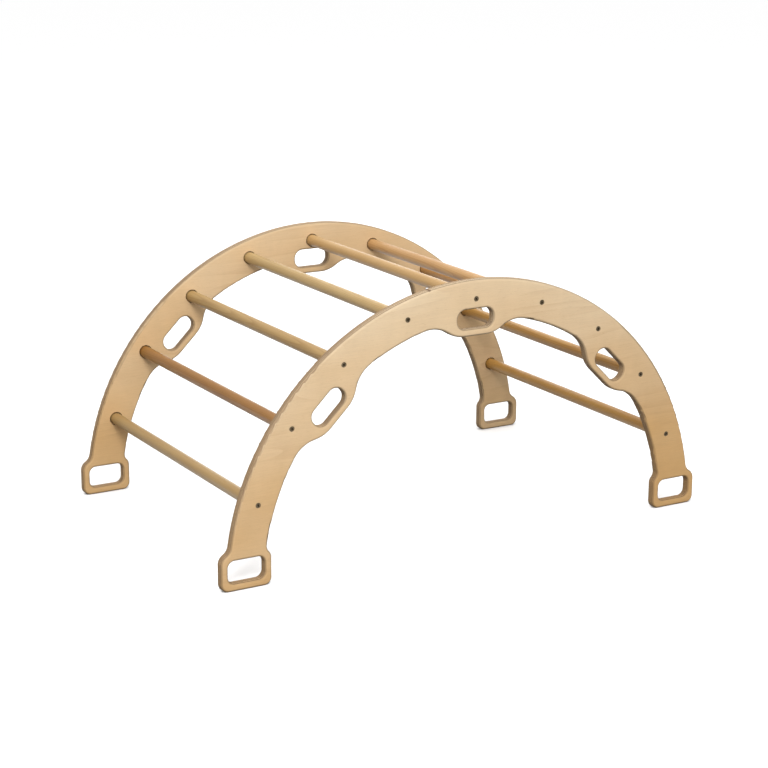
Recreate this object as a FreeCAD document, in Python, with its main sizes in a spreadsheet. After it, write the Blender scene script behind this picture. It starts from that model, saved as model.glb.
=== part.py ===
import FreeCAD, Part
import math
import os
import re

import Sketcher
from FreeCAD import Placement, Rotation, Vector

# A climbing arch for small children that turns over to be a rocker.
# Two plywood side panels, each a half ring with hand grips and loop feet,
# are joined by nine round rungs, which are screwed on from outside.
#
# Frame: +X along the arch, +Y across it from the front panel to the back
# panel, +Z up. The origin is on the floor, midway between the four feet.
# Lengths are in millimetres and angles in degrees.

DIMENSIONS = [
    # Whole object
    ("overall_length", 1015, "over the feet, along X"),
    ("overall_width", 632, "over the outer faces of the panels, along Y"),
    # Plywood half ring
    ("ply_thickness", 18, "side panel"),
    ("ring_outer_radius", 495, "climbing edge, about a centre on the floor"),
    ("ring_inner_radius", 425, "inner edge between the hand grips"),
    ("edge_round", 4.5, "round-over of every panel edge"),
    # Hand grips on the inner edge
    ("grip_count", 3, "one at the top and one at each side"),
    ("grip_spacing_angle", 44.6, "from one grip to the next"),
    ("bump_radius", 392.6, "from the ring's centre to the flat of the bump"),
    ("bump_width", 83, "flat of the bump, before its corners are rounded"),
    ("bump_slope_angle", 34, "side of the bump, from its flat"),
    ("bump_corner_round", 60, "between flat and side"),
    ("bump_root_round", 60, "between side and inner edge"),
    ("grip_slot_width", 75, "hand slot, along the ring"),
    ("grip_slot_low", 405.8, "slot edge nearest the ring's centre"),
    ("grip_slot_high", 441.6, "slot edge farthest from the ring's centre"),
    ("grip_slot_corner", 16.5, "slot corner radius"),
    # Loop feet
    ("foot_length", 97, "along X"),
    ("foot_outer_height", 58.5, "top of the upright outer side"),
    ("foot_inner_height", 56, "top of the upright inner side"),
    ("foot_outer_slope_angle", 34, "outer shoulder, from horizontal"),
    ("foot_inner_slope_angle", 47, "inner shoulder, from horizontal"),
    ("foot_corner_round", 14, "bottom corners"),
    ("foot_outer_shoulder_round", 19, "outer shoulder corners"),
    ("foot_inner_shoulder_round", 15, "inner shoulder corners"),
    ("foot_slot_width", 70, "opening of the loop, along X"),
    ("foot_slot_low", 13.8, "height of the opening's lower edge"),
    ("foot_slot_high", 54.6, "height of the opening's upper edge"),
    ("foot_slot_corner", 12.5, "opening corner radius"),
    # Rungs
    ("rung_count", 9, "evenly spaced about the top"),
    ("rung_circle_radius", 460, "rung centres, about the ring's centre"),
    ("rung_spacing_angle", 17.83, "from one rung to the next"),
    ("rung_diameter", 22.5, "turned beech"),
    ("rung_end_chamfer", 0.8, "both ends"),
    ("recess_clearance", 2.1, "recess wall to rung, all round"),
    ("recess_depth", 6, "in the inner face of each panel"),
    # Connector screws
    ("screw_length", 50, "over the head"),
    ("head_diameter", 9, "countersunk, 90 degrees"),
    ("head_rim", 0.4, "straight rim above the cone"),
    ("head_sink", 0.3, "below the outer face of the panel"),
    ("shank_diameter", 6.3, "plain length below the head, and over the thread"),
    ("shank_length", 12, "from the top of the head"),
    ("core_diameter", 4.6, "under the thread"),
    ("thread_pitch", 3, "from crest to crest"),
    ("thread_crests", 11, "along the core"),
    ("tip_length", 3, "cone at the end of the core"),
    ("socket_width", 4, "hexagon, across the flats"),
    ("socket_depth", 3, "hexagon"),
    ("socket_turn", 37, "from each screw to the next, as they stop where they are tight"),
    ("hole_clearance", 0.1, "screw hole wall to screw, all round"),
    ("pilot_depth", 42, "hole in each end of a rung"),
]

SIZE = {name: value for name, value, note in DIMENSIONS}
SHEET = "Dimensions"
# A height from which the sketch solver starts to move a circle into place
ROUGH_HEIGHT = 10
# Two lengths or places that differ by less than this are the same
SAME = 0.01
# How far an edge may lie from the spot where it is looked for
NEAR = 0.5

doc = FreeCAD.newDocument("climbing_arch_rocker")


# ------------------------------------------------------- sheet and expressions

def make_sheet():
    """Writes the driving dimensions into a spreadsheet, one alias per row."""
    sheet = doc.addObject("Spreadsheet::Sheet", SHEET)
    for row, (name, value, note) in enumerate(DIMENSIONS, start=1):
        sheet.set(f"A{row}", name)
        sheet.set(f"B{row}", str(value))
        sheet.set(f"C{row}", note)
        sheet.setAlias(f"B{row}", name)
    doc.recompute()


def bind(thing, prop, formula):
    """Binds a property to a formula in the names of the dimensions."""

    def cell(match):
        word = match.group(0)
        return f"{SHEET}.{word}" if word in SIZE else word

    thing.setExpression(prop, re.sub(r"[a-z_]+", cell, formula))


# ------------------------------------------------------------- body and sketch

def make_body(label):
    body = doc.addObject("PartDesign::Body", label)
    body.Label = label
    return body


def origin_item(body, role):
    """The body's own origin plane or axis with the given role."""
    return next(item for item in body.Origin.OriginFeatures if item.Role == role)


def make_sketch(body, name, plane="XZ_Plane", turn=None, shift=None):
    """An empty sketch on an origin plane, turned about its normal and shifted.

    turn is a formula in degrees; shift is a pair of an axis and a formula.
    """
    sketch = body.newObject("Sketcher::SketchObject", f"{body.Label}_{name}")
    sketch.AttachmentSupport = [(origin_item(body, plane), "")]
    sketch.MapMode = "FlatFace"
    if turn:
        sketch.AttachmentOffset = Placement(Vector(), Rotation(Vector(0, 0, 1), 1))
        bind(sketch, "AttachmentOffset.Rotation.Angle", turn)
    if shift:
        axis, formula = shift
        bind(sketch, f"AttachmentOffset.Base.{axis}", formula)
    return sketch


def dimension(sketch, formula, kind, *where):
    """Adds a sketch dimension that is bound to a formula.

    where is Sketcher's own list of geometry and point numbers, followed by
    the present size, from which the solver starts.
    """
    index = sketch.addConstraint(Sketcher.Constraint(kind, *where))
    bind(sketch, f"Constraints[{index}]", formula)


def draw_polygon(sketch, points):
    """A closed chain of lines; line i runs from point i to point i + 1."""
    count = len(points)
    for i, (x, y) in enumerate(points):
        next_x, next_y = points[(i + 1) % count]
        sketch.addGeometry(Part.LineSegment(Vector(x, y, 0), Vector(next_x, next_y, 0)))
    for i in range(count):
        sketch.addConstraint(Sketcher.Constraint("Coincident", i, 2, (i + 1) % count, 1))


def draw_circle(sketch, diameter_formula, height_formula=None):
    """A circle round the sketch's origin, or above it on the vertical axis."""
    centre = Vector(0, ROUGH_HEIGHT if height_formula else 0, 0)
    circle = sketch.addGeometry(Part.Circle(centre, Vector(0, 0, 1), 1))
    if height_formula:
        sketch.addConstraint(Sketcher.Constraint("PointOnObject", circle, 3, -2))
        dimension(sketch, height_formula, "DistanceY", -1, 1, circle, 3, ROUGH_HEIGHT)
    else:
        sketch.addConstraint(Sketcher.Constraint("Coincident", circle, 3, -1, 1))
    dimension(sketch, diameter_formula, "Diameter", circle, 2)


def draw_slot(sketch, width, low, high, corner):
    """A rounded rectangle, centred on the vertical axis; names of dimensions."""
    half = SIZE[width] / 2
    bottom, top, radius = SIZE[low], SIZE[high], SIZE[corner]
    z_axis = Vector(0, 0, 1)
    # Lines 0 to 3: bottom, right, top, left. Arcs 4 to 7 follow each of them.
    straights = [
        ((-half + radius, bottom), (half - radius, bottom)),
        ((half, bottom + radius), (half, top - radius)),
        ((half - radius, top), (-half + radius, top)),
        ((-half, top - radius), (-half, bottom + radius)),
    ]
    for (x1, y1), (x2, y2) in straights:
        sketch.addGeometry(Part.LineSegment(Vector(x1, y1, 0), Vector(x2, y2, 0)))
    centres = [
        (half - radius, bottom + radius),
        (half - radius, top - radius),
        (-half + radius, top - radius),
        (-half + radius, bottom + radius),
    ]
    for i, (x, y) in enumerate(centres):
        start = math.radians(-90 + 90 * i)
        circle = Part.Circle(Vector(x, y, 0), z_axis, radius)
        sketch.addGeometry(Part.ArcOfCircle(circle, start, start + math.radians(90)))
    for i in range(4):
        sketch.addConstraint(Sketcher.Constraint("Tangent", i, 2, 4 + i, 1))
        sketch.addConstraint(Sketcher.Constraint("Tangent", 4 + i, 2, (i + 1) % 4, 1))
    sketch.addConstraint(Sketcher.Constraint("Horizontal", 2))
    for i in (1, 3):
        sketch.addConstraint(Sketcher.Constraint("Vertical", i))
    for i in (5, 6, 7):
        sketch.addConstraint(Sketcher.Constraint("Equal", 4, i))
    sketch.addConstraint(Sketcher.Constraint("Symmetric", 0, 1, 0, 2, -2))
    dimension(sketch, corner, "Radius", 4, radius)
    dimension(sketch, low, "DistanceY", -1, 1, 0, 1, bottom)
    dimension(sketch, high, "DistanceY", -1, 1, 2, 1, top)
    dimension(sketch, f"{width} / 2", "DistanceX", -1, 1, 1, 1, half)


# -------------------------------------------------------------------- features

def add_feature(body, kind, name, profile=None, **settings):
    """Adds a PartDesign feature to a body and makes it the tip."""
    feature = body.newObject(f"PartDesign::{kind}", f"{body.Label}_{name}")
    if profile:
        feature.Profile = profile
    for setting, value in settings.items():
        setattr(feature, setting, value)
    body.Tip = feature
    return feature


def add_pocket(body, name, profile, depth=None, towards_normal=False):
    """Cuts a pocket as deep as a formula says, or right through."""
    before = body.Tip.Shape.Volume
    pocket = add_feature(body, "Pocket", name, profile, Reversed=towards_normal)
    if depth:
        bind(pocket, "Length", depth)
    else:
        pocket.Type = "ThroughAll"
    doc.recompute()
    if pocket.Shape.Volume > before - 1:
        raise ValueError(f"{pocket.Name} cuts nothing")
    return pocket


def add_polar(body, name, original, count, angle):
    """Repeats a feature clockwise, seen from the front, about its sketch's normal."""
    pattern = body.newObject("PartDesign::PolarPattern", f"{body.Label}_{name}")
    pattern.Originals = [original]
    pattern.Axis = (original.Profile[0], ["N_Axis"])
    pattern.Reversed = True
    bind(pattern, "Occurrences", count)
    bind(pattern, "Angle", angle)
    body.Tip = pattern
    doc.recompute()
    return pattern


def add_mirror(body, name, original, plane):
    """Repeats a feature on the other side of an origin plane."""
    mirror = body.newObject("PartDesign::Mirrored", f"{body.Label}_{name}")
    mirror.Originals = [original]
    mirror.MirrorPlane = (origin_item(body, plane), [""])
    body.Tip = mirror
    doc.recompute()
    return mirror


def dress_edges(body, kind, name, formula, edges):
    """Fillets or chamfers the edges of the body's tip that are named."""
    base = body.Tip
    feature = body.newObject(f"PartDesign::{kind}", f"{body.Label}_{name}")
    feature.Base = (base, edges)
    bind(feature, "Radius" if kind == "Fillet" else "Size", formula)
    body.Tip = feature
    doc.recompute()
    return feature


def edges_through(shape, spots):
    """Names of the straight edges along Y that pass through (x, z) spots."""
    names = []
    for number, edge in enumerate(shape.Edges, start=1):
        start, end = edge.firstVertex().Point, edge.lastVertex().Point
        along_y = math.dist((start.x, start.z), (end.x, end.z)) < SAME
        if along_y and any(math.dist((start.x, start.z), spot) < NEAR for spot in spots):
            names.append(f"Edge{number}")
    if len(names) != len(spots):
        raise ValueError(f"{len(spots)} edges wanted, {len(names)} found")
    return names


def edges_in_faces(shape, levels):
    """Names of the edges that lie wholly in one of the planes y = level."""
    names = []
    for number, edge in enumerate(shape.Edges, start=1):
        box = edge.BoundBox
        flat = box.YLength < SAME
        if flat and any(abs(box.YMin - level) < SAME for level in levels):
            names.append(f"Edge{number}")
    return names


def circles_in_face(shape, level, radius):
    """Names of the circles of a radius in the plane y = level."""
    names = []
    for number, edge in enumerate(shape.Edges, start=1):
        round_edge = isinstance(edge.Curve, Part.Circle) and abs(edge.Curve.Radius - radius) < SAME
        box = edge.BoundBox
        if round_edge and box.YLength < SAME and abs(box.YMin - level) < SAME:
            names.append(f"Edge{number}")
    return names


def ring_edges(shape):
    """Names of all circular edges."""
    circles = [isinstance(edge.Curve, Part.Circle) for edge in shape.Edges]
    return [f"Edge{number}" for number, found in enumerate(circles, start=1) if found]


# ------------------------------------------------------------------ side panel

def ray_to_circle(point, angle, radius):
    """Where a ray from a point meets a circle round the origin from inside or out.

    The nearer crossing is returned.
    """
    x, z = point
    dx, dz = math.cos(math.radians(angle)), math.sin(math.radians(angle))
    along = x * dx + z * dz
    root = math.sqrt(along ** 2 - (x ** 2 + z ** 2 - radius ** 2))
    reach = min(r for r in (-along - root, -along + root) if r > 0)
    return x + reach * dx, z + reach * dz


def about_ring(point, angle):
    """Turns a point of the top grip's outline to the grip at the given angle."""
    x, z = point
    c, s = math.cos(math.radians(angle)), math.sin(math.radians(angle))
    return x * c + z * s, z * c - x * s


def both_sides(spots):
    return spots + [(-x, z) for x, z in spots]


def grip_angles():
    middle = (SIZE["grip_count"] - 1) / 2
    return [(i - middle) * SIZE["grip_spacing_angle"] for i in range(SIZE["grip_count"])]


def bump_corners():
    """Spots of the bumps' corners, and of their roots on the inner edge."""
    half, level = SIZE["bump_width"] / 2, SIZE["bump_radius"]
    root = ray_to_circle((half, level), SIZE["bump_slope_angle"], SIZE["ring_inner_radius"])
    corners = [about_ring(p, a) for a in grip_angles() for p in both_sides([(half, level)])]
    roots = [about_ring(p, a) for a in grip_angles() for p in both_sides([root])]
    return corners, roots


def foot_corners():
    """Spots of the feet's bottom corners, outer shoulders and inner shoulders."""
    outer = SIZE["overall_length"] / 2
    inner = outer - SIZE["foot_length"]
    bottom = [(outer, 0), (inner, 0)]
    outer_top = (outer, SIZE["foot_outer_height"])
    inner_top = (inner, SIZE["foot_inner_height"])
    outer_angle = 180 - SIZE["foot_outer_slope_angle"]
    inner_angle = SIZE["foot_inner_slope_angle"]
    outer_root = ray_to_circle(outer_top, outer_angle, SIZE["ring_outer_radius"])
    inner_root = ray_to_circle(inner_top, inner_angle, SIZE["ring_inner_radius"])
    return both_sides(bottom), both_sides([outer_top, outer_root]), both_sides([inner_top, inner_root])


def draw_ring(sketch):
    """The half ring, standing on the sketch's horizontal axis."""
    radii = (SIZE["ring_outer_radius"], SIZE["ring_inner_radius"])
    for radius in radii:
        circle = Part.Circle(Vector(), Vector(0, 0, 1), radius)
        sketch.addGeometry(Part.ArcOfCircle(circle, 0, math.pi))
    outer, inner = radii
    sketch.addGeometry(Part.LineSegment(Vector(outer, 0, 0), Vector(inner, 0, 0)))
    sketch.addGeometry(Part.LineSegment(Vector(-outer, 0, 0), Vector(-inner, 0, 0)))
    for arc in (0, 1):
        sketch.addConstraint(Sketcher.Constraint("Coincident", arc, 3, -1, 1))
        for end in (1, 2):
            sketch.addConstraint(Sketcher.Constraint("PointOnObject", arc, end, -1))
            sketch.addConstraint(Sketcher.Constraint("Coincident", arc, end, 1 + end, 1 + arc))
    dimension(sketch, "ring_outer_radius", "Radius", 0, outer)
    dimension(sketch, "ring_inner_radius", "Radius", 1, inner)


def draw_bump(sketch):
    """The top grip's bump: a trapezium that reaches into the ring's band."""
    half, level = SIZE["bump_width"] / 2, SIZE["bump_radius"]
    top = (SIZE["ring_inner_radius"] + SIZE["ring_outer_radius"]) / 2
    slope = math.radians(SIZE["bump_slope_angle"])
    top_half = half + (top - level) / math.tan(slope)
    draw_polygon(sketch, [(-half, level), (half, level), (top_half, top), (-top_half, top)])
    sketch.addConstraint(Sketcher.Constraint("Symmetric", 0, 1, 0, 2, -2))
    sketch.addConstraint(Sketcher.Constraint("Symmetric", 2, 1, 2, 2, -2))
    dimension(sketch, "bump_width / 2", "DistanceX", -1, 1, 0, 2, half)
    dimension(sketch, "bump_radius", "DistanceY", -1, 1, 0, 2, level)
    dimension(sketch, "bump_slope_angle * 1 deg", "Angle", 0, 1, slope)
    middle = "(ring_inner_radius + ring_outer_radius) / 2"
    dimension(sketch, middle, "DistanceY", -1, 1, 2, 1, top)


def draw_foot(sketch):
    """The foot on the +X side, about its own middle, up into the ring's band."""
    half = SIZE["foot_length"] / 2
    outer, inner = SIZE["foot_outer_height"], SIZE["foot_inner_height"]
    outer_slope = math.radians(SIZE["foot_outer_slope_angle"])
    inner_slope = math.radians(SIZE["foot_inner_slope_angle"])
    top = outer + half / 2
    draw_polygon(sketch, [
        (-half, 0),
        (half, 0),
        (half, outer),
        (half - (top - outer) / math.tan(outer_slope), top),
        (-half + (top - inner) / math.tan(inner_slope), top),
        (-half, inner),
    ])
    sketch.addConstraint(Sketcher.Constraint("Symmetric", 0, 1, 0, 2, -1, 1))
    sketch.addConstraint(Sketcher.Constraint("Horizontal", 0))
    for side in (1, 5):
        sketch.addConstraint(Sketcher.Constraint("Vertical", side))
    sketch.addConstraint(Sketcher.Constraint("Horizontal", 3))
    dimension(sketch, "foot_length", "DistanceX", 0, 1, 0, 2, 2 * half)
    dimension(sketch, "foot_outer_height", "DistanceY", 1, 1, 1, 2, outer)
    dimension(sketch, "foot_inner_height", "DistanceY", 5, 2, 5, 1, inner)
    reach = "foot_outer_height + foot_length / 4"
    dimension(sketch, reach, "DistanceY", -1, 1, 3, 1, top)
    # Angles between the upright sides and the shoulders that follow them.
    turn = "(90 - foot_outer_slope_angle) * 1 deg"
    dimension(sketch, turn, "Angle", 1, 2, math.pi / 2 - outer_slope)
    turn = "(90 - foot_inner_slope_angle) * 1 deg"
    dimension(sketch, turn, "Angle", 4, 5, math.pi / 2 - inner_slope)


def make_side_panel(label):
    """One plywood side, outer face on the plane y = 0, inner face at +Y."""
    body = make_body(label)
    foot_centre = ("x", "(overall_length - foot_length) / 2")
    first_grip = "grip_spacing_angle * (grip_count - 1) / 2"
    grip_sweep = "grip_spacing_angle * (grip_count - 1)"
    first_rung = "rung_spacing_angle * (rung_count - 1) / 2"
    rung_sweep = "rung_spacing_angle * (rung_count - 1)"

    # The blank: half ring, bumps and feet, each as thick as the plywood
    sketch = make_sketch(body, "ring_outline")
    draw_ring(sketch)
    ring = add_feature(body, "Pad", "ring", sketch, Reversed=True)
    sketch = make_sketch(body, "bump_outline", turn=first_grip)
    draw_bump(sketch)
    bump = add_feature(body, "Pad", "bump", sketch, Reversed=True)
    for pad in (ring, bump):
        bind(pad, "Length", "ply_thickness")
    add_polar(body, "bumps", bump, "grip_count", grip_sweep)
    sketch = make_sketch(body, "foot_outline", shift=foot_centre)
    draw_foot(sketch)
    foot = add_feature(body, "Pad", "foot", sketch, Reversed=True)
    bind(foot, "Length", "ply_thickness")
    add_mirror(body, "feet", foot, "YZ_Plane")

    # Corners of the outline
    corners, roots = bump_corners()
    bottom, outer_shoulders, inner_shoulders = foot_corners()
    for name, spots in (
        ("bump_corner_round", corners),
        ("bump_root_round", roots),
        ("foot_corner_round", bottom),
        ("foot_outer_shoulder_round", outer_shoulders),
        ("foot_inner_shoulder_round", inner_shoulders),
    ):
        dress_edges(body, "Fillet", name, name, edges_through(body.Tip.Shape, spots))

    # Hand slots and the openings of the feet
    sketch = make_sketch(body, "grip_slot_outline", turn=first_grip)
    draw_slot(sketch, "grip_slot_width", "grip_slot_low", "grip_slot_high", "grip_slot_corner")
    slot = add_pocket(body, "grip_slot", sketch)
    add_polar(body, "grip_slots", slot, "grip_count", grip_sweep)
    sketch = make_sketch(body, "foot_slot_outline", shift=foot_centre)
    draw_slot(sketch, "foot_slot_width", "foot_slot_low", "foot_slot_high", "foot_slot_corner")
    slot = add_pocket(body, "foot_slot", sketch)
    add_mirror(body, "foot_slots", slot, "YZ_Plane")

    # Round-over of every outline edge, outside and in, on both faces
    edges = edges_in_faces(body.Tip.Shape, (0, SIZE["ply_thickness"]))
    dress_edges(body, "Fillet", "edge_round", "edge_round", edges)

    # Rung recesses in the inner face, screw holes from the outer face
    sketch = make_sketch(body, "recess_outline", turn=first_rung, shift=("z", "-ply_thickness"))
    draw_circle(sketch, "rung_diameter + 2 * recess_clearance", "rung_circle_radius")
    recess = add_pocket(body, "recess", sketch, "recess_depth", towards_normal=True)
    add_polar(body, "recesses", recess, "rung_count", rung_sweep)
    sketch = make_sketch(body, "screw_hole_outline", turn=first_rung)
    draw_circle(sketch, "shank_diameter + 2 * hole_clearance", "rung_circle_radius")
    hole = add_pocket(body, "screw_hole", sketch)
    add_polar(body, "screw_holes", hole, "rung_count", rung_sweep)
    mouth = SIZE["shank_diameter"] / 2 + SIZE["hole_clearance"]
    mouths = circles_in_face(body.Tip.Shape, 0, mouth)
    cone = "head_diameter / 2 + head_rim + head_sink - shank_diameter / 2 - hole_clearance"
    dress_edges(body, "Chamfer", "countersink", cone, mouths)
    return body


def make_side_panels():
    """The front panel, and the same piece turned about for the back."""
    front = make_side_panel("side_panel_front")
    bind(front, "Placement.Base.y", "-overall_width / 2")
    back = make_side_panel("side_panel_back")
    back.Placement = Placement(Vector(), Rotation(Vector(0, 0, 1), 180))
    bind(back, "Placement.Base.y", "overall_width / 2")
    return [front, back]


# ----------------------------------------------------------------------- rungs

def set_on_rung_circle(body, number, rotation, y=None):
    """Puts a body's origin on the axis of a rung, counted from the -X end."""
    body.Placement = Placement(Vector(), rotation)
    angle = f"((rung_spacing_angle * ({number} - (rung_count + 1) / 2)) * 1 deg)"
    bind(body, "Placement.Base.x", f"rung_circle_radius * sin{angle}")
    bind(body, "Placement.Base.z", f"rung_circle_radius * cos{angle}")
    if y:
        bind(body, "Placement.Base.y", y)


def make_rung(number):
    """A dowel along the body's Z, with a screw hole in each end."""
    body = make_body(f"rung_{number}")
    length = "overall_width - 2 * ply_thickness + 2 * recess_depth"
    sketch = make_sketch(body, "section", "XY_Plane")
    draw_circle(sketch, "rung_diameter")
    dowel = add_feature(body, "Pad", "dowel", sketch, Midplane=True)
    bind(dowel, "Length", length)
    doc.recompute()
    dress_edges(body, "Chamfer", "ends", "rung_end_chamfer", ring_edges(dowel.Shape))
    sketch = make_sketch(body, "pilot_outline", "XY_Plane", shift=("z", f"({length}) / 2"))
    draw_circle(sketch, "shank_diameter + 2 * hole_clearance")
    pilot = add_pocket(body, "pilot", sketch, "pilot_depth")
    add_mirror(body, "pilots", pilot, "XY_Plane")
    set_on_rung_circle(body, number, Rotation(Vector(1, 0, 0), -90))
    return body


# ---------------------------------------------------------------------- screws

def draw_profile(sketch, corners):
    """A closed chain of lines with every corner at a pair of formulas."""
    draw_polygon(sketch, [(i + 1, i * i + 1) for i in range(len(corners))])
    for i, corner in enumerate(corners):
        for kind, formula, axis in zip(("DistanceX", "DistanceY"), corner, (-2, -1)):
            if formula == "0":
                sketch.addConstraint(Sketcher.Constraint("PointOnObject", i, 1, axis))
            else:
                dimension(sketch, formula, kind, -1, 1, i, 1, 1)


def draw_hexagon(sketch, width):
    """A hexagon round the sketch's origin, as wide across the flats as a dimension."""
    radius = SIZE[width] / math.sqrt(3)
    turns = [math.radians(60 * i) for i in range(6)]
    draw_polygon(sketch, [(radius * math.cos(a), radius * math.sin(a)) for a in turns])
    circle = sketch.addGeometry(Part.Circle(Vector(), Vector(0, 0, 1), radius), True)
    sketch.addConstraint(Sketcher.Constraint("Coincident", circle, 3, -1, 1))
    for i in range(6):
        sketch.addConstraint(Sketcher.Constraint("PointOnObject", i, 1, circle))
    for i in range(1, 6):
        sketch.addConstraint(Sketcher.Constraint("Equal", 0, i))
    sketch.addConstraint(Sketcher.Constraint("PointOnObject", 0, 1, -1))
    dimension(sketch, f"{width} / sqrt(3)", "Radius", circle, radius)


def make_screw(label, number, facing, y):
    """A connector screw along the body's Z, with the top of its head at z = 0.

    Its thread is a row of rings. facing turns the screw's Z into the panel.
    """
    body = make_body(label)
    sketch = make_sketch(body, "profile")
    head, shank, core = "head_diameter / 2", "shank_diameter / 2", "core_diameter / 2"
    draw_profile(sketch, [
        ("0", "0"),
        (head, "0"),
        (head, "head_rim"),
        (shank, f"head_rim + {head} - {shank}"),
        (shank, "shank_length"),
        (core, f"shank_length + {shank} - {core}"),
        (core, "screw_length - tip_length"),
        ("0", "screw_length"),
    ])
    blank = add_feature(body, "Revolution", "blank", sketch, Angle=360)
    blank.ReferenceAxis = (sketch, ["V_Axis"])
    doc.recompute()
    sketch = make_sketch(body, "crest_profile")
    root, start = f"{core} - thread_pitch / 10", "shank_length + thread_pitch / 2"
    draw_profile(sketch, [
        (root, start),
        (shank, f"{start} + thread_pitch * 0.25"),
        (shank, f"{start} + thread_pitch * 0.3"),
        (root, f"{start} + thread_pitch * 0.55"),
    ])
    crest = add_feature(body, "Revolution", "crest", sketch, Angle=360)
    crest.ReferenceAxis = (sketch, ["V_Axis"])
    thread = body.newObject("PartDesign::LinearPattern", f"{label}_thread")
    thread.Originals = [crest]
    thread.Direction = (origin_item(body, "Z_Axis"), [""])
    bind(thread, "Length", "thread_pitch * (thread_crests - 1)")
    bind(thread, "Occurrences", "thread_crests")
    body.Tip = thread
    doc.recompute()
    sketch = make_sketch(body, "socket_outline", "XY_Plane")
    draw_hexagon(sketch, "socket_width")
    add_pocket(body, "socket", sketch, "socket_depth", towards_normal=True)
    # Each screw stops at its own turn, so no two sockets lie alike.
    turned = Rotation(Vector(0, 0, 1), SIZE["socket_turn"] * number)
    set_on_rung_circle(body, number, facing.multiply(turned), y)
    return body


def make_screws():
    into_front = Rotation(Vector(1, 0, 0), -90)
    into_back = Rotation(Vector(1, 0, 0), 90)
    screws = []
    for number in range(1, SIZE["rung_count"] + 1):
        y = "head_sink - overall_width / 2"
        screws.append(make_screw(f"screw_front_{number}", number, into_front, y))
        y = "overall_width / 2 - head_sink"
        screws.append(make_screw(f"screw_back_{number}", number, into_back, y))
    return screws


# -------------------------------------------------------------- check and save

def check(parts):
    """Stops if any object failed, or a part isn't one valid solid."""
    for item in doc.Objects:
        if "Invalid" in item.State or "Error" in item.State:
            raise RuntimeError(f"{item.Name} failed")
        if item.TypeId == "Sketcher::SketchObject" and not item.FullyConstrained:
            raise RuntimeError(f"{item.Name} is not fully constrained")
    for part in parts:
        shape = part.Shape
        if shape.isNull() or not shape.isValid() or len(shape.Solids) != 1:
            raise RuntimeError(f"{part.Label} is not one valid solid")


def save(parts):
    os.makedirs("parts", exist_ok=True)
    for part in parts:
        part.Shape.exportStep(f"parts/{part.Label}.step")
        print(f"{part.Label}: {part.Shape.Volume / 1000:.1f} cm3")


make_sheet()
all_parts = make_side_panels()
all_parts += [make_rung(number) for number in range(1, SIZE["rung_count"] + 1)]
all_parts += make_screws()
doc.recompute()
check(all_parts)
save(all_parts)
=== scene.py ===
"""Looks of the climbing arch rocker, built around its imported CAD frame.

Lengths are in metres in the CAD frame: +X along the arch, +Y from the front
panel to the back panel, +Z up. The two panels are birch plywood, the nine
rungs are turned beech, and the screws are steel with a dark, dull plating.
"""

import math

import bpy
from mathutils import Matrix, Vector


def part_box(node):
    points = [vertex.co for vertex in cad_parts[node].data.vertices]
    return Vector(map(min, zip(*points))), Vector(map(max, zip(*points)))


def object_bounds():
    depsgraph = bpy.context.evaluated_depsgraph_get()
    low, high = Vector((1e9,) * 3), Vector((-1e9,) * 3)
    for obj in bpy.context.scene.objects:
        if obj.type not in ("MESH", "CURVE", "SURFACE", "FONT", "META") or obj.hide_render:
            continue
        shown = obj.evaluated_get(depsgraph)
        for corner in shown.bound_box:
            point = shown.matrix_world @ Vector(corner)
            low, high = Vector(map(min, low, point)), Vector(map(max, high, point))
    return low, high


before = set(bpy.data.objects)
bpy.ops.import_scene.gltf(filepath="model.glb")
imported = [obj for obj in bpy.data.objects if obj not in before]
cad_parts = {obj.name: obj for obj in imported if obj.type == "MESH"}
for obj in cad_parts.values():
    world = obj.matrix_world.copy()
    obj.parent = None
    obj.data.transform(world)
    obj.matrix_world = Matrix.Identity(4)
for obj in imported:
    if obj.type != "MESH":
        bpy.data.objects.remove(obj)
cad_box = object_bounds()

# Plywood: its plies, and how dark its edges are painted beside its faces: a painted shade that
# tones down the light their round-over catches
PLIES = 13
PAINTED_EDGE_SHADE = 0.76
# How golden each face is at the top of the arch, and how much more golden and darker at the left
# foot and at the right foot: the veneer's own tone, and towards the feet partly painted shade where
# less light falls
FRONT_OUTER_GOLD = (0.0, 0.85, 1.4)
FRONT_INNER_GOLD = (0.4, 0.5, 0.6)
BACK_OUTER_GOLD = (0.1, 0.5, 0.6)
BACK_INNER_GOLD = (0.4, 0.45, 0.25)
FRONT_SEED = 1.3
BACK_SEED = 5.9
# A small knot near the top of the front panel
KNOT_X = -0.0965
KNOT_BELOW_TOP = 0.010
KNOT_HALF_LENGTH = 0.0028
KNOT_HALF_HEIGHT = 0.0018
KNOT_STRENGTH = 0.75
# Beech: growth rings about a pith outside the dowel, turned from rung to rung
RINGS_PER_METRE = 430.0
PITH_DISTANCE = 0.042
RUNG_SEED_STEP = 11.7
RUNG_TURN_STEP = 2.4
# Depth of each surface's relief
PLYWOOD_RELIEF = 0.00016
BEECH_RELIEF = 0.00014
STEEL_RELIEF = 0.00003
# Camera
LENS_MM = 96.12
SENSOR_MM = 36.0
CAMERA_AZIMUTH = -30.26
CAMERA_ELEVATION = 15.16
CAMERA_ROLL = 0.22
CAMERA_DISTANCE = 4.0087
CAMERA_REACH = 100.0
AIM_FROM_CENTRE = Vector((0.0260, 0.0519, -0.0336))
# Light of the sky: from the sine of its height in the sky to its strength
SKY_ABOVE = (0.0, 1.0, 0.0, 1.0)
SKY_BELOW = (-0.1, 0.02, 0.13, 0.34)
WHITE = (1.0, 1.0, 1.0, 1.0)
# Square soft lights: name, place, width and watts
SOFTBOXES = (
    ("key", (-1.67, -2.67, 2.6), 1.4, 112.0),
    ("top", (0.0, 0.0, 2.4), 1.6, 12.0),
    ("back", (1.6, 2.9, 0.9), 1.6, 20.0),
)
# Floor
FLOOR_HALF_WIDTH = 40.0
FLOOR_PALE = (0.98, 0.98, 0.98, 1.0)


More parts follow.
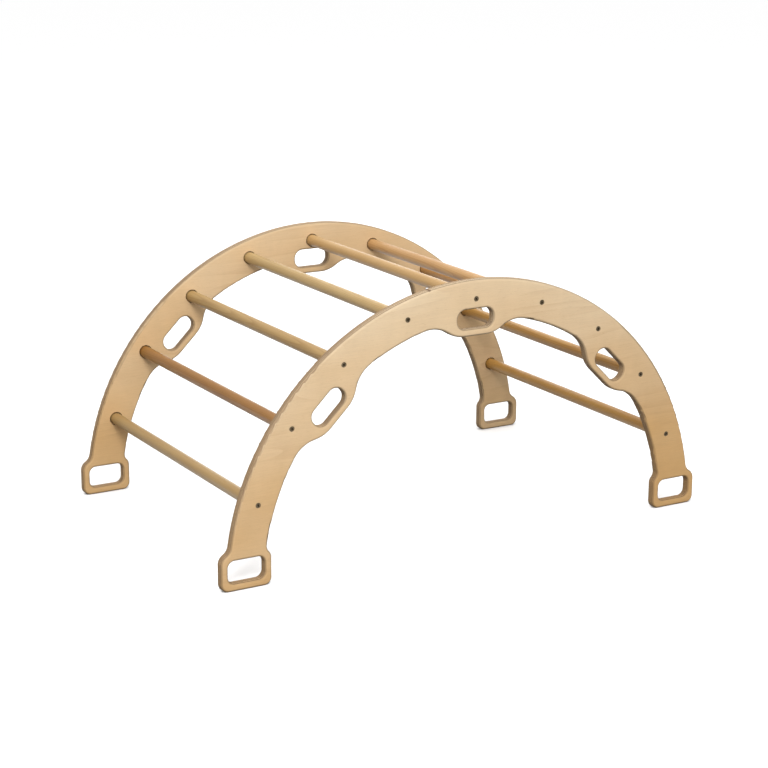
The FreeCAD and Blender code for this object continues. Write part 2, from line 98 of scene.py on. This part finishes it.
def srgb(red, green, blue):
    """A colour given as it looks on a screen, from 0 to 255, in linear light."""

    def linear(level):
        share = level / 255
        return share / 12.92 if share <= 0.04045 else ((share + 0.055) / 1.055) ** 2.4

    return (linear(red), linear(green), linear(blue), 1.0)


# ---------------------------------------------------------------- node helper

class Graph:
    """A material's node tree. Every value is a number, a colour or a socket."""

    def __init__(self, name):
        self.material = bpy.data.materials.new(name)
        self.material.use_nodes = True
        self.tree = self.material.node_tree
        self.tree.nodes.clear()

    def feed(self, socket, value):
        if isinstance(value, bpy.types.NodeSocket):
            self.tree.links.new(value, socket)
        elif socket.type == "VECTOR":
            socket.default_value = value[:3]
        else:
            socket.default_value = value

    def node(self, kind, inputs=None, **settings):
        node = self.tree.nodes.new("ShaderNode" + kind)
        for name, value in settings.items():
            setattr(node, name, value)
        for name, value in (inputs or {}).items():
            self.feed(node.inputs[name], value)
        return node

    def math(self, operation, *values):
        node = self.node("Math", operation=operation)
        for socket, value in zip(node.inputs, values):
            self.feed(socket, value)
        return node.outputs[0]

    def add(self, a, b):
        return self.math("ADD", a, b)

    def sub(self, a, b):
        return self.math("SUBTRACT", a, b)

    def mul(self, a, b):
        return self.math("MULTIPLY", a, b)

    def pick(self, share, a, b):
        """a where share is 0, b where it is 1, for numbers."""
        return self.add(a, self.mul(share, self.sub(b, a)))

    def split(self, vector):
        return self.node("SeparateXYZ", {"Vector": vector}).outputs

    def point(self, x, y, z):
        return self.node("CombineXYZ", {"X": x, "Y": y, "Z": z}).outputs[0]

    def noise(self, point, detail=2.0, roughness=0.5, distortion=0.0):
        """Soft noise about 0.5 whose lumps are about one unit of the point wide."""
        inputs = {"Vector": point, "Scale": 1.0, "Detail": detail,
                  "Roughness": roughness, "Distortion": distortion}
        return self.node("TexNoise", inputs).outputs[0]

    def level(self, value, low, high, start=0.0, end=1.0, smooth=True):
        """Carries value from low..high to start..end, held at both ends."""
        kind = "SMOOTHSTEP" if smooth else "LINEAR"
        inputs = {"Value": value, "From Min": low, "From Max": high,
                  "To Min": start, "To Max": end}
        return self.node("MapRange", inputs, interpolation_type=kind).outputs[0]

    def blend(self, share, a, b):
        """Colour a where share is 0, colour b where it is 1."""
        node = self.node("Mix", data_type="RGBA")
        for index, value in ((0, share), (6, a), (7, b)):
            self.feed(node.inputs[index], value)
        return node.outputs[2]

    def scaled(self, colour, factor):
        """The colour made lighter or darker by a factor."""
        node = self.node("VectorMath", operation="SCALE")
        self.feed(node.inputs[0], colour)
        self.feed(node.inputs["Scale"], factor)
        return node.outputs[0]

    def sway(self, factor, value, amount):
        """A factor times 1 plus amount times how far value is above one half."""
        return self.mul(factor, self.add(1.0, self.mul(self.sub(value, 0.5), 2 * amount)))

    def finish(self, colour, roughness, height, depth, **fixed):
        """Ends the tree in a Principled shader with a bump of the given depth."""
        bump = self.node("Bump", {"Strength": 1.0, "Distance": depth, "Height": height})
        shader = self.node("BsdfPrincipled", {
            "Base Color": colour, "Roughness": roughness, "Normal": bump.outputs[0]})
        for name, value in fixed.items():
            shader.inputs[name.replace("_", " ")].default_value = value
        output = self.node("OutputMaterial")
        self.tree.links.new(shader.outputs[0], output.inputs[0])
        return self.material


# ----------------------------------------------------------------- birch plywood

VENEER_PALE = srgb(228, 205, 171)
VENEER_GOLD = srgb(204, 163, 109)
VENEER_LINE = srgb(176, 134, 92)
END_GRAIN = srgb(126, 102, 78)
GLUE = srgb(84, 58, 38)
KNOT = srgb(92, 58, 36)


def birch_figure(g, along, across, layer):
    """The figure of peeled birch on a plane, with its grain along one axis.

    Gives four values from 0 to 1: broad tone, growth lines, fibres and pores.
    """
    broad = g.noise(g.point(g.mul(along, 3.0), g.mul(across, 7.0), layer), 2.0)
    # Growth lines are the contour lines of a long, slow landscape.
    slow = g.point(g.mul(along, 0.8), g.mul(across, 9.0), g.add(layer, 3.7))
    land = g.noise(slow, 2.0, 0.45, 0.2)
    saw = g.math("FRACT", g.mul(land, 11.0))
    fade = g.noise(g.point(g.mul(along, 6.0), g.mul(across, 14.0), g.add(layer, 8.1)), 1.0)
    lines = g.mul(g.math("POWER", saw, 2.5), g.level(fade, 0.35, 0.7))
    fibres = g.noise(g.point(g.mul(along, 28.0), g.mul(across, 850.0), layer), 3.0, 0.6)
    short = g.noise(g.point(g.mul(along, 130.0), g.mul(across, 1400.0), layer), 1.0)
    pores = g.level(short, 0.62, 0.74)
    return broad, lines, fibres, pores


def fleck(g, x, z, spot, half_length, half_height):
    """1 inside a small oval at a spot on a panel, fading to 0 at its rim."""
    u = g.math("DIVIDE", g.sub(x, spot[0]), half_length)
    v = g.math("DIVIDE", g.sub(z, spot[1]), half_height)
    reach = g.math("SQRT", g.add(g.mul(u, u), g.mul(v, v)))
    return g.level(reach, 0.55, 1.15, 1.0, 0.0)


def plywood(name, outer_y, inner_y, seed, outer_gold, inner_gold, flecks=()):
    """Birch plywood, peeled veneers seen flat on the faces and edge-on round them.

    outer_gold and inner_gold say how golden the two faces are: at the top of the arch, and how much
    more at its left foot and at its right foot. The extra gold towards the feet also darkens them,
    partly the veneer's tone and partly painted shade where less light falls.
    """
    g = Graph(name)
    place = g.node("TexCoord")
    x, y, z = g.split(place.outputs["Object"])
    nx, ny, nz = g.split(place.outputs["Normal"])

    # Which ply a point lies in, counted from the outer face
    wander = g.noise(g.point(g.mul(x, 9.0), seed, g.mul(z, 9.0)), 1.0)
    raw = g.mul(g.sub(y, outer_y), PLIES / (inner_y - outer_y))
    depth = g.add(raw, g.mul(g.sub(wander, 0.5), 0.5))
    depth = g.math("MINIMUM", g.math("MAXIMUM", depth, 0.0), PLIES - 0.001)
    index = g.math("FLOOR", depth)
    crossed = g.math("MODULO", index, 2.0)

    # The grain runs along X in even plies and along Z in odd ones
    along, across = g.pick(crossed, x, z), g.pick(crossed, z, x)
    layer = g.add(g.mul(index, 0.73), seed)
    broad, lines, fibres, pores = birch_figure(g, along, across, layer)

    # 0 on the flat faces and 1 on the edges: side grows all over the round-over, rim is full soon
    #                                         after its start and carries a painted shade, and end
    #                                         is side where end grain shows
    side = g.level(g.math("ABSOLUTE", ny), 0.5, 0.995, 1.0, 0.0, smooth=False)
    rim = g.level(g.math("ABSOLUTE", ny), 0.9, 0.999, 1.0, 0.0, smooth=False)
    end = g.mul(side, g.level(g.math("ABSOLUTE", g.pick(crossed, nx, nz)), 0.1, 0.95))

    # Face colour: the veneer's tone, darker and more golden towards the feet and most at the right
    # foot, partly painted shade where less light falls
    inner_side = g.math("GREATER_THAN", depth, PLIES / 2)
    low, high = cad_box
    down = g.math("POWER", g.level(z, high.z, 0.0, smooth=False), 0.8)
    right = g.level(x, low.x, high.x, smooth=False)
    foot_tone_and_shade = [g.mul(down, g.pick(right, face[1], face[2])) for face in (outer_gold, inner_gold)]
    gold_and_shade = g.pick(inner_side, g.add(foot_tone_and_shade[0], outer_gold[0]), g.add(foot_tone_and_shade[1], inner_gold[0]))
    tone = g.add(gold_and_shade, g.mul(g.sub(broad, 0.5), 0.9))
    colour = g.blend(g.level(tone, 0.0, 1.0, smooth=False), VENEER_PALE, VENEER_GOLD)
    colour = g.blend(g.mul(lines, 0.20), colour, VENEER_LINE)
    colour = g.blend(g.mul(pores, 0.22), colour, VENEER_LINE)

    # Edge colour: end grain drinks the lacquer and is darker
    white = g.node("TexWhiteNoise", {"W": g.add(index, seed)}, noise_dimensions="1D")
    ply_shade = white.outputs[0]
    specks = g.noise(g.point(g.mul(x, 900.0), g.mul(y, 1500.0), g.mul(z, 900.0)), 2.0)
    end_colour = g.scaled(END_GRAIN, g.level(specks, 0.3, 0.7, 0.82, 1.15))
    colour = g.blend(g.mul(end, 0.85), colour, end_colour)
    bond = g.math("PINGPONG", depth, 0.5)
    inside = g.mul(g.level(depth, 0.3, 0.5), g.level(depth, PLIES - 0.5, PLIES - 0.3, 1.0, 0.0))
    glue = g.mul(g.level(bond, 0.03, 0.12, 1.0, 0.0), inside)
    glue = g.mul(glue, side)
    colour = g.blend(g.mul(glue, 0.6), colour, GLUE)
    for spot, half_length, half_height, strength in flecks:
        mark = fleck(g, x, z, spot, half_length, half_height)
        colour = g.blend(g.mul(mark, strength), colour, KNOT)

    # Light and shade of the figure, ply by ply off the faces
    shade = g.sway(1.0, fibres, 0.10)
    shade = g.mul(shade, g.pick(side, 1.0, g.level(ply_shade, 0.0, 1.0, 0.78, 1.05)))
    # Painted shade: the rim beside each face is darkened to tone down the light the round-over
    # catches
    shade = g.mul(shade, g.pick(rim, 1.0, PAINTED_EDGE_SHADE))
    flame = g.noise(g.point(g.mul(x, 30.0), g.mul(z, 13.0), layer), 2.0, 0.5, 0.4)
    shade = g.sway(shade, flame, 0.06)
    colour = g.scaled(colour, shade)

    sheen = g.noise(g.point(g.mul(x, 18.0), g.mul(y, 40.0), g.mul(z, 18.0)), 2.0)
    roughness = g.add(g.level(sheen, 0.3, 0.7, 0.40, 0.52), g.mul(side, 0.35))
    height = g.add(g.mul(fibres, 0.5), g.add(g.mul(pores, -0.35), g.mul(glue, -0.6)))
    height = g.add(height, g.mul(end, g.mul(specks, 0.5)))
    return g.finish(colour, roughness, height, PLYWOOD_RELIEF, Specular_IOR_Level=0.3)


# -------------------------------------------------------------------- beech rungs

def beech(name, centre, seed, light, dark, turn):
    """A dowel of turned beech along Y: growth rings, fibres and short rays.

    turn is the angle at which the rings cross the dowel.
    """
    g = Graph(name)
    x, y, z = g.split(g.node("TexCoord").outputs["Object"])
    u, w = g.sub(x, centre.x), g.sub(z, centre.z)
    c, s = math.cos(turn), math.sin(turn)
    side = g.add(g.mul(u, c), g.mul(w, s))
    rise = g.sub(g.mul(w, c), g.mul(u, s))

    # Rings about a pith outside the dowel, which leans a little along its length
    bow = g.noise(g.point(seed, g.mul(y, 2.2), 0.0), 1.0)
    lean = g.add(g.mul(y, 0.014), g.mul(g.sub(bow, 0.5), 0.018))
    away = g.add(rise, g.add(PITH_DISTANCE, lean))
    radius = g.math("SQRT", g.add(g.mul(away, away), g.mul(side, side)))
    ripple = g.noise(g.point(g.mul(side, 60.0), g.mul(y, 5.0), g.add(g.mul(rise, 60.0), seed)), 2.0)
    rings = g.add(g.mul(radius, RINGS_PER_METRE), g.mul(ripple, 0.9))
    saw = g.math("FRACT", rings)
    late = g.mul(g.math("POWER", saw, 2.2), g.level(saw, 0.94, 1.0, 1.0, 0.25))

    grain = g.point(g.mul(side, 800.0), g.mul(y, 22.0), g.add(g.mul(rise, 800.0), seed))
    fibres = g.noise(grain, 3.0, 0.6)
    ray = g.point(g.mul(side, 1700.0), g.mul(y, 300.0), g.add(g.mul(rise, 1700.0), seed))
    rays = g.level(g.noise(ray, 1.0), 0.63, 0.72)
    streak = g.noise(g.point(g.mul(side, 90.0), g.mul(y, 3.0), g.add(g.mul(rise, 90.0), seed)), 2.0)
    cloud = g.noise(g.point(g.mul(side, 12.0), g.mul(y, 9.0), seed), 2.0)

    tone = g.add(g.mul(late, 0.45), g.add(g.mul(streak, 0.7), g.mul(cloud, 0.5)))
    colour = g.blend(g.level(tone, 0.35, 1.25, smooth=False), light, dark)
    colour = g.blend(g.mul(rays, 0.35), colour, g.scaled(dark, 0.62))
    shade = g.sway(g.sway(1.0, fibres, 0.12), cloud, 0.05)
    colour = g.scaled(colour, shade)

    roughness = g.level(streak, 0.3, 0.7, 0.40, 0.52)
    height = g.add(g.mul(fibres, 0.6), g.mul(rays, -0.4))
    return g.finish(colour, roughness, height, BEECH_RELIEF, Specular_IOR_Level=0.5)


# -------------------------------------------------------------------------- steel

def steel(name):
    """Dull plated steel, with small rubbed spots and a fine, uneven roughness."""
    g = Graph(name)
    x, y, z = g.split(g.node("TexCoord").outputs["Object"])
    blotch = g.noise(g.point(g.mul(x, 420.0), g.mul(y, 420.0), g.mul(z, 420.0)), 3.0, 0.6)
    fine = g.noise(g.point(g.mul(x, 2600.0), g.mul(y, 2600.0), g.mul(z, 2600.0)), 2.0)
    colour = g.blend(g.level(blotch, 0.35, 0.65), srgb(74, 64, 48), srgb(108, 96, 78))
    roughness = g.level(fine, 0.3, 0.7, 0.32, 0.5)
    return g.finish(colour, roughness, fine, STEEL_RELIEF, Metallic=1.0)


# ---------------------------------------------------------------- dress the nodes

# The light and the dark wood of each rung, counted from the left foot
RUNG_TONES = {
    1: (srgb(162, 134, 86), srgb(134, 102, 56)),
    2: (srgb(147, 104, 44), srgb(114, 72, 28)),
    3: (srgb(168, 138, 88), srgb(138, 106, 58)),
    4: (srgb(180, 153, 104), srgb(150, 119, 72)),
    5: (srgb(184, 150, 100), srgb(154, 118, 70)),
    6: (srgb(186, 148, 98), srgb(154, 110, 64)),
    7: (srgb(184, 138, 82), srgb(148, 102, 52)),
    8: (srgb(178, 134, 64), srgb(140, 95, 38)),
    9: (srgb(184, 140, 68), srgb(146, 100, 42)),
}


def dress(node, material):
    """Puts one material in every slot of a CAD node."""
    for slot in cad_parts[node].material_slots:
        slot.material = material


def dress_panels():
    low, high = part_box("side_panel_front")
    spot = (KNOT_X, high.z - KNOT_BELOW_TOP)
    knots = [(spot, KNOT_HALF_LENGTH, KNOT_HALF_HEIGHT, KNOT_STRENGTH)]
    dress("side_panel_front", plywood(
        "birch_front", low.y, high.y, FRONT_SEED, FRONT_OUTER_GOLD, FRONT_INNER_GOLD, knots))
    low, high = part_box("side_panel_back")
    dress("side_panel_back", plywood(
        "birch_back", high.y, low.y, BACK_SEED, BACK_OUTER_GOLD, BACK_INNER_GOLD))


def dress_rungs():
    for number, (light, dark) in RUNG_TONES.items():
        node = f"rung_{number}"
        low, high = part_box(node)
        seed, turn = RUNG_SEED_STEP * number, RUNG_TURN_STEP * number
        dress(node, beech(f"beech_{number}", (low + high) / 2, seed, light, dark, turn))


def dress_screws():
    material = steel("screw_steel_dull")
    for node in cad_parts:
        if node.startswith("screw"):
            dress(node, material)


# ------------------------------------------------------------------------- studio

def make_camera():
    """The camera, aimed a little off the object's middle."""
    low, high = cad_box
    azimuth, elevation = math.radians(CAMERA_AZIMUTH), math.radians(CAMERA_ELEVATION)
    roll = math.radians(CAMERA_ROLL)
    look = Vector((
        -math.sin(azimuth) * math.cos(elevation),
        math.cos(azimuth) * math.cos(elevation),
        -math.sin(elevation),
    ))
    level = Vector((math.cos(azimuth), math.sin(azimuth), 0.0))
    upright = level.cross(look)
    right = level * math.cos(roll) + upright * math.sin(roll)
    up = upright * math.cos(roll) - level * math.sin(roll)
    aim = (low + high) / 2 + AIM_FROM_CENTRE
    data = bpy.data.cameras.new("camera")
    data.lens = LENS_MM
    data.sensor_width = SENSOR_MM
    data.clip_end = CAMERA_REACH
    camera = bpy.data.objects.new("camera", data)
    bpy.context.scene.collection.objects.link(camera)
    turned = Matrix((right, up, -look)).transposed().to_4x4()
    camera.matrix_world = Matrix.Translation(aim - look * CAMERA_DISTANCE) @ turned
    bpy.context.scene.camera = camera


def make_floor():
    """A pale floor, wide enough to fill every view."""
    half = FLOOR_HALF_WIDTH
    ground = cad_box[0].z
    signs = ((-1, -1), (1, -1), (1, 1), (-1, 1))
    corners = [(half * across, half * along, ground) for across, along in signs]
    mesh = bpy.data.meshes.new("floor")
    mesh.from_pydata(corners, [], [(0, 1, 2, 3)])
    floor = bpy.data.objects.new("floor", mesh)
    bpy.context.scene.collection.objects.link(floor)
    g = Graph("floor_white")
    shader = g.node("BsdfDiffuse")
    shader.inputs["Color"].default_value = FLOOR_PALE
    output = g.node("OutputMaterial")
    g.tree.links.new(shader.outputs[0], output.inputs[0])
    mesh.materials.append(g.material)
    floor.visible_diffuse = False


def make_sky():
    """Soft light from all round, brightest overhead and dim from below.

    The camera sees it as plain white.
    """
    world = bpy.data.worlds.new("studio")
    world.use_nodes = True
    tree = world.node_tree
    tree.nodes.clear()
    place = tree.nodes.new("ShaderNodeTexCoord")
    split = tree.nodes.new("ShaderNodeSeparateXYZ")
    above = tree.nodes.new("ShaderNodeMapRange")
    below = tree.nodes.new("ShaderNodeMapRange")
    strength = tree.nodes.new("ShaderNodeMath")
    light = tree.nodes.new("ShaderNodeBackground")
    backdrop = tree.nodes.new("ShaderNodeBackground")
    ray = tree.nodes.new("ShaderNodeLightPath")
    mix = tree.nodes.new("ShaderNodeMixShader")
    output = tree.nodes.new("ShaderNodeOutputWorld")
    for node, levels in ((above, SKY_ABOVE), (below, SKY_BELOW)):
        for name, value in zip(("From Min", "From Max", "To Min", "To Max"), levels):
            node.inputs[name].default_value = value
        tree.links.new(split.outputs["Z"], node.inputs["Value"])
    for shade in (light, backdrop):
        shade.inputs["Color"].default_value = WHITE
    tree.links.new(place.outputs["Generated"], split.inputs[0])
    tree.links.new(above.outputs[0], strength.inputs[0])
    tree.links.new(below.outputs[0], strength.inputs[1])
    tree.links.new(strength.outputs[0], light.inputs["Strength"])
    tree.links.new(ray.outputs["Is Camera Ray"], mix.inputs[0])
    tree.links.new(light.outputs[0], mix.inputs[1])
    tree.links.new(backdrop.outputs[0], mix.inputs[2])
    tree.links.new(mix.outputs[0], output.inputs[0])
    bpy.context.scene.world = world


def make_softbox(name, place, size, watts):
    """A square soft light that faces the middle of the object."""
    data = bpy.data.lights.new(name, "AREA")
    data.shape = "SQUARE"
    data.size = size
    data.energy = watts
    light = bpy.data.objects.new(name, data)
    bpy.context.scene.collection.objects.link(light)
    low, high = cad_box
    place = Vector(place)
    light.location = place
    light.rotation_euler = ((low + high) / 2 - place).to_track_quat("-Z", "Y").to_euler()


dress_panels()
dress_rungs()
dress_screws()
make_camera()
make_floor()
make_sky()
for softbox in SOFTBOXES:
    make_softbox(*softbox)
bpy.context.scene.view_settings.view_transform = "Standard"
